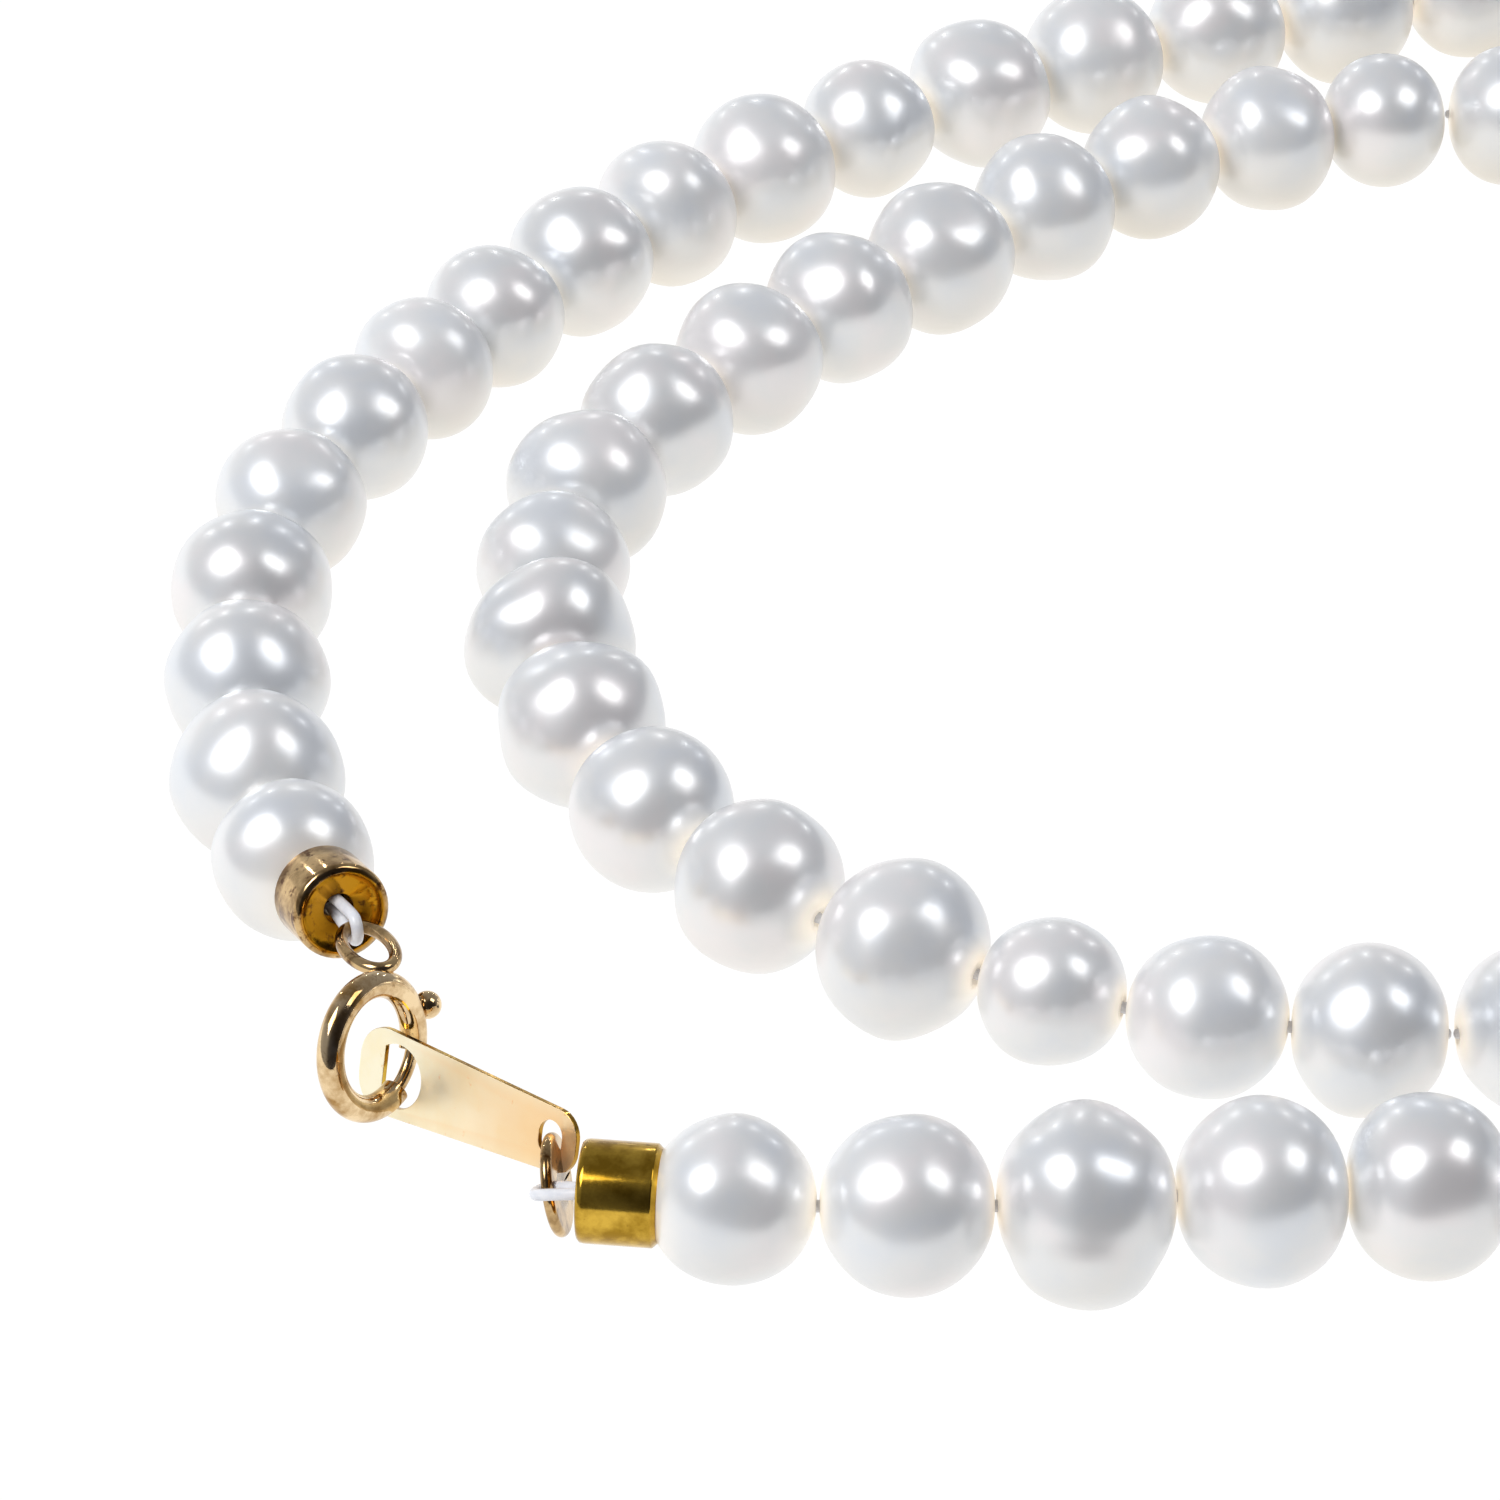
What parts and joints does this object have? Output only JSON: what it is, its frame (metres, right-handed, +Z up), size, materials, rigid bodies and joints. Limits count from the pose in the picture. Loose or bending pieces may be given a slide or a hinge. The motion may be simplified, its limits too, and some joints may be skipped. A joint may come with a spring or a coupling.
{
  "type": "pearl necklace",
  "caption": "Single-strand necklace of round drilled pearls on a thread, lying in a doubled-back crescent, closed by a spring ring hooked into a tag plate between two end caps.",
  "frame": {"origin": "on the table, under the middle of the laid-out strand", "axes": "+Z up from the table, the crescent's ends towards +X, the clasp towards -Y"},
  "size_m": [0.1047, 0.1243, 0.0079],
  "materials": {
    "nacre": "gloss",
    "gold": "polished",
    "plated_metal": "satin",
    "thread": "satin"
  },
  "bodies": {
    "outer_row_1": {"pearls_outer_row_1": "nacre", "thread_outer_row_1": "thread"},
    "outer_row_2": {"pearls_outer_row_2": "nacre", "thread_outer_row_2": "thread"},
    "outer_row_3": {"pearls_outer_row_3": "nacre", "thread_outer_row_3": "thread"},
    "outer_row_4": {"pearls_outer_row_4": "nacre", "thread_outer_row_4": "thread"},
    "back_turn_1": {"pearls_back_turn_1": "nacre", "thread_back_turn_1": "thread"},
    "back_turn_2": {"pearls_back_turn_2": "nacre", "thread_back_turn_2": "thread"},
    "back_turn_3": {"pearls_back_turn_3": "nacre", "thread_back_turn_3": "thread"},
    "back_turn_4": {"pearls_back_turn_4": "nacre", "thread_back_turn_4": "thread"},
    "inner_row_1": {"pearls_inner_row_1": "nacre", "thread_inner_row_1": "thread"},
    "inner_row_2": {"pearls_inner_row_2": "nacre", "thread_inner_row_2": "thread"},
    "inner_row_3": {"pearls_inner_row_3": "nacre", "thread_inner_row_3": "thread"},
    "inner_row_4": {"pearls_inner_row_4": "nacre", "thread_inner_row_4": "thread"},
    "front_turn_1": {"pearls_front_turn_1": "nacre", "thread_front_turn_1": "thread"},
    "front_turn_2": {"pearls_front_turn_2": "nacre", "thread_front_turn_2": "thread"},
    "front_turn_3": {"pearls_front_turn_3": "nacre", "thread_front_turn_3": "thread"},
    "front_turn_4": {"pearls_front_turn_4": "nacre", "thread_front_turn_4": "thread"},
    "bottom_row": {"pearls_bottom_row": "nacre", "thread_bottom_row": "thread"},
    "end_b": {"cap_b": "gold", "crimp_bead_b": "plated_metal", "thread_loop_b": "thread"},
    "end_a": {"cap_a": "gold", "crimp_bead_a": "plated_metal", "thread_loop_a": "thread"},
    "jump_ring": {"jump_ring": "gold"},
    "tag_plate": {"tag_plate": "gold"},
    "spring_ring": {"spring_ring_tube": "gold", "eye_ring": "gold", "spring_ring_coil": "plated_metal"},
    "trigger": {"spring_ring_trigger": "gold"}
  },
  "joints": [
    {"name": "cap_b_on_bottom_row", "type": "hinge", "parent": "bottom_row", "child": "end_b", "pos_m": [-0.0306, -0.0498, 0.00385], "axis": [0, 0, 1], "range_deg": [0, 6]},
    {"name": "jump_ring_in_thread_loop_b", "type": "hinge", "parent": "end_b", "child": "jump_ring", "pos_m": [-0.03451, -0.04867, 0.00311], "axis": [-0.1269, 0.5483, 0.8266], "range_deg": [0, 12]},
    {"name": "tag_plate_on_jump_ring", "type": "hinge", "parent": "jump_ring", "child": "tag_plate", "pos_m": [-0.03431, -0.04557, 0.0032], "axis": [-0.1989, -0.5753, 0.7934], "range_deg": [0, 8]},
    {"name": "spring_ring_in_tag_plate", "type": "hinge", "parent": "tag_plate", "child": "spring_ring", "pos_m": [-0.04087, -0.04009, 0.00155], "axis": [0.4684, 0.8166, 0.3373], "range_deg": [0, 10]},
    {"name": "thread_loop_a_on_eye_ring", "type": "hinge", "parent": "spring_ring", "child": "end_a", "pos_m": [-0.04285, -0.03506, 0.00586], "axis": [0.925, 0.3752, -0.0593], "range_deg": [-12, 12]},
    {"name": "outer_row_1_in_cap_a", "type": "hinge", "parent": "end_a", "child": "outer_row_1", "pos_m": [-0.04454, -0.03121, 0.00484], "axis": [0, 0, 1], "range_deg": [0, 6]},
    {"name": "outer_row_2_sway", "type": "hinge", "parent": "outer_row_1", "child": "outer_row_2", "pos_m": [-0.04896, -0.00347, 0.00385], "axis": [0, 0, 1], "range_deg": [0, 15]},
    {"name": "outer_row_3_lift", "type": "hinge", "parent": "outer_row_2", "child": "outer_row_3", "pos_m": [-0.03711, 0.01925, 0.00385], "axis": [0.7933, -0.6089, 0], "range_deg": [-15, 15]},
    {"name": "outer_row_4_sway", "type": "hinge", "parent": "outer_row_3", "child": "outer_row_4", "pos_m": [-0.01766, 0.03732, 0.00385], "axis": [0, 0, 1], "range_deg": [0, 15]},
    {"name": "back_turn_1_lift", "type": "hinge", "parent": "outer_row_4", "child": "back_turn_1", "pos_m": [0.00869, 0.04922, 0.00385], "axis": [-0.3107, 0.9505, 0], "range_deg": [-15, 15]},
    {"name": "back_turn_2_sway", "type": "hinge", "parent": "back_turn_1", "child": "back_turn_2", "pos_m": [0.03494, 0.05899, 0.00385], "axis": [0, 0, 1], "range_deg": [0, 15]},
    {"name": "front_turn_4_sway", "type": "hinge", "parent": "bottom_row", "child": "front_turn_4", "pos_m": [0.00361, -0.04915, 0.00385], "axis": [0, 0, -1], "range_deg": [0, 15]},
    {"name": "front_turn_3_lift", "type": "hinge", "parent": "front_turn_4", "child": "front_turn_3", "pos_m": [0.02901, -0.05815, 0.00385], "axis": [0.2953, 0.9554, 0], "range_deg": [-15, 15]},
    {"name": "front_turn_2_sway", "type": "hinge", "parent": "front_turn_3", "child": "front_turn_2", "pos_m": [0.04785, -0.04517, 0.00385], "axis": [0, 0, -1], "range_deg": [0, 15]},
    {"name": "front_turn_1_lift", "type": "hinge", "parent": "front_turn_2", "child": "front_turn_1", "pos_m": [0.02808, -0.03169, 0.00385], "axis": [-0.2294, 0.9733, 0], "range_deg": [-15, 15]},
    {"name": "inner_row_4_sway", "type": "hinge", "parent": "front_turn_1", "child": "inner_row_4", "pos_m": [0.00214, -0.03963, 0.00385], "axis": [0, 0, -1], "range_deg": [0, 15]},
    {"name": "inner_row_3_lift", "type": "hinge", "parent": "inner_row_4", "child": "inner_row_3", "pos_m": [-0.02341, -0.03201, 0.00385], "axis": [-0.592, -0.8059, 0], "range_deg": [-15, 15]},
    {"name": "inner_row_2_sway", "type": "hinge", "parent": "inner_row_3", "child": "inner_row_2", "pos_m": [-0.03529, -0.00199, 0.00385], "axis": [0, 0, -1], "range_deg": [0, 15]},
    {"name": "inner_row_1_lift", "type": "hinge", "parent": "inner_row_2", "child": "inner_row_1", "pos_m": [-0.01431, 0.02482, 0.00385], "axis": [0.6724, -0.7402, 0], "range_deg": [-15, 15]},
    {"name": "back_turn_4_sway", "type": "hinge", "parent": "inner_row_1", "child": "back_turn_4", "pos_m": [0.00939, 0.0368, 0.00385], "axis": [0, 0, -1], "range_deg": [0, 15]},
    {"name": "back_turn_3_lift", "type": "hinge", "parent": "back_turn_4", "child": "back_turn_3", "pos_m": [0.03674, 0.03118, 0.00385], "axis": [-0.1336, 0.991, 0], "range_deg": [-15, 15]},
    {"name": "trigger_draws_back", "type": "hinge", "parent": "spring_ring", "child": "trigger", "pos_m": [-0.04185, -0.0405, 0.0039], "axis": [0.7977, -0.555, 0.2359], "range_deg": [0, 30], "stiffness_Nm_per_rad": 0.0005, "springref_deg": -11.46, "deforming": ["spring_ring_coil"]}
  ]
}
